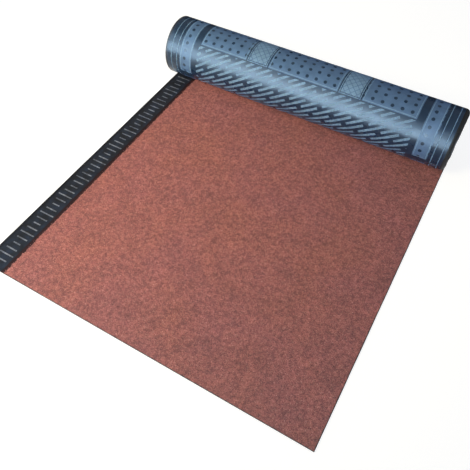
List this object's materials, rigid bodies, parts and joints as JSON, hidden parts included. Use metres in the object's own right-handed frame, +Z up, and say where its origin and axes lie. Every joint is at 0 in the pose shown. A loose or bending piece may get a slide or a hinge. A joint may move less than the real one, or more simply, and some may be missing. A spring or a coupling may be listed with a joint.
{
  "type": "roll of roofing felt",
  "caption": "Partly unrolled roll of mineral-surfaced roofing felt: a flat laid sheet with a bare side lap along one edge, wound up into a hollow roll at its far end.",
  "frame": {"origin": "on the floor, in the middle of the part's outline seen from above", "axes": "+X along the roll, away from the side lap; +Y along the sheet, from its free edge towards the roll; +Z up"},
  "size_m": [1, 1.1023, 0.197],
  "materials": {
    "bitumen_felt": "black bitumen sheet, cut edges",
    "mineral_granules": "red-brown crushed slate granules",
    "printed_film": "thin glossy blue-black release film with a pale print"
  },
  "bodies": {
    "root": {"roofing_felt_roll": "bitumen_felt"}
  },
  "joints": []
}
